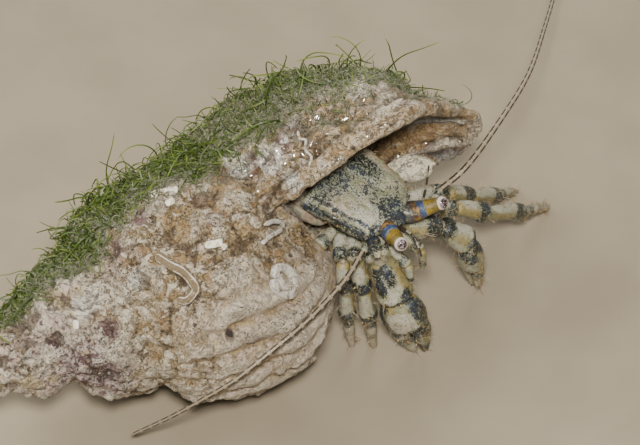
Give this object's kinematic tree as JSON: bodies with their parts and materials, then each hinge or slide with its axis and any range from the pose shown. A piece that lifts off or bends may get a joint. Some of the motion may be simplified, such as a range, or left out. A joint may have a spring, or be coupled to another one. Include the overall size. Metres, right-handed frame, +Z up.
{
  "type": "hermit crab",
  "caption": "Hermit crab standing on its legs and claws at the mouth of a tall, encrusted, weed-grown sea snail shell.",
  "frame": {"origin": "on the floor, in the middle of the footprint", "axes": "+Z up; +X along the length, from the shell's spire towards the crab; the crab faces between +X and -Y"},
  "size_m": [0.0436, 0.0422, 0.0194],
  "materials": {
    "shell": "worn, crusted lime shell",
    "weed": "short wet green weed",
    "plate": "damp speckled horny plate",
    "skin": "soft damp skin",
    "eyestalk": "orange and blue bands",
    "cornea": "wet, glassy",
    "feeler": "clear horn with brown dashes"
  },
  "bodies": {
    "root": {"shell": "shell", "weed_mat": "weed", "shield": "plate", "thorax": "skin", "rear_carapace": "skin", "abdomen": "skin", "eyestalk_right": "eyestalk", "eyestalk_left": "eyestalk", "cornea_right": "cornea", "cornea_left": "cornea", "antenna_right_stalk": "plate", "antenna_left_stalk": "plate", "antenna_right_feeler": "feeler", "antenna_left_feeler": "feeler", "antennule_right": "feeler", "antennule_left": "feeler", "claw_right_merus": "plate", "claw_right_carpus": "plate", "claw_right_palm": "plate", "claw_right_finger": "plate", "claw_left_merus": "plate", "claw_left_carpus": "plate", "claw_left_palm": "plate", "claw_left_finger": "plate", "leg_2_right_merus": "plate", "leg_2_right_carpus": "plate", "leg_2_right_propodus": "plate", "leg_2_right_dactyl": "plate", "leg_2_left_merus": "plate", "leg_2_left_carpus": "plate", "leg_2_left_propodus": "plate", "leg_2_left_dactyl": "plate", "leg_3_right_merus": "plate", "leg_3_right_carpus": "plate", "leg_3_right_propodus": "plate", "leg_3_right_dactyl": "plate", "leg_3_left_merus": "plate", "leg_3_left_carpus": "plate", "leg_3_left_propodus": "plate", "leg_3_left_dactyl": "plate", "leg_4_right": "plate", "leg_4_left": "plate", "mouth_limb_right": "plate", "mouth_limb_left": "plate"}
  },
  "joints": []
}
